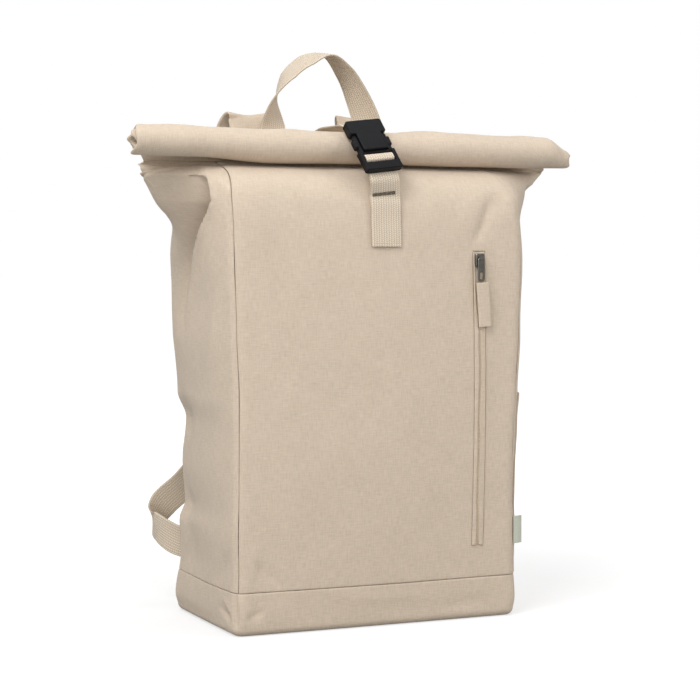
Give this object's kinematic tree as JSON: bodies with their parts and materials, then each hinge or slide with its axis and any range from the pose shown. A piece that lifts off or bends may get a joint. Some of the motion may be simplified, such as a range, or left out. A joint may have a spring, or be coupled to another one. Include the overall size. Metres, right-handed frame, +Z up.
{
  "type": "rolltop backpack",
  "caption": "Rolltop backpack in plain canvas: rolled-down mouth held by a webbing strap and side-release buckle, vertical front zip, grab handle, shoulder straps.",
  "frame": {"origin": "middle of the flat base, on the surface the bag stands on", "axes": "+Z up, -Y the front panel, +X the viewer's right when facing the front; the wearer's back is at +Y"},
  "size_m": [0.445, 0.2292, 0.5554],
  "materials": {
    "canvas": "plain-weave cotton canvas, matt",
    "webbing": "woven cotton webbing, matt",
    "plastic": "moulded, soft gloss",
    "metal": "plated, worn satin",
    "tag": "woven ribbon, matt"
  },
  "bodies": {
    "root": {"front_panel": "canvas", "right_side": "canvas", "back_panel": "canvas", "left_side": "canvas", "base_band": "canvas", "roll_collar": "canvas", "shoulder_strap_left": "canvas", "shoulder_strap_right": "canvas", "zip_tape": "canvas", "puller_tab": "canvas", "side_pocket": "canvas", "closure_strap": "webbing", "front_strap": "webbing", "carry_handle": "webbing", "lower_webbing_left": "webbing", "lower_webbing_right": "webbing", "zip_coil": "webbing", "buckle_female": "plastic", "buckle_male": "plastic", "strap_slider_left": "plastic", "strap_slider_right": "plastic", "zip_slider": "metal", "side_label": "tag"}
  },
  "joints": []
}
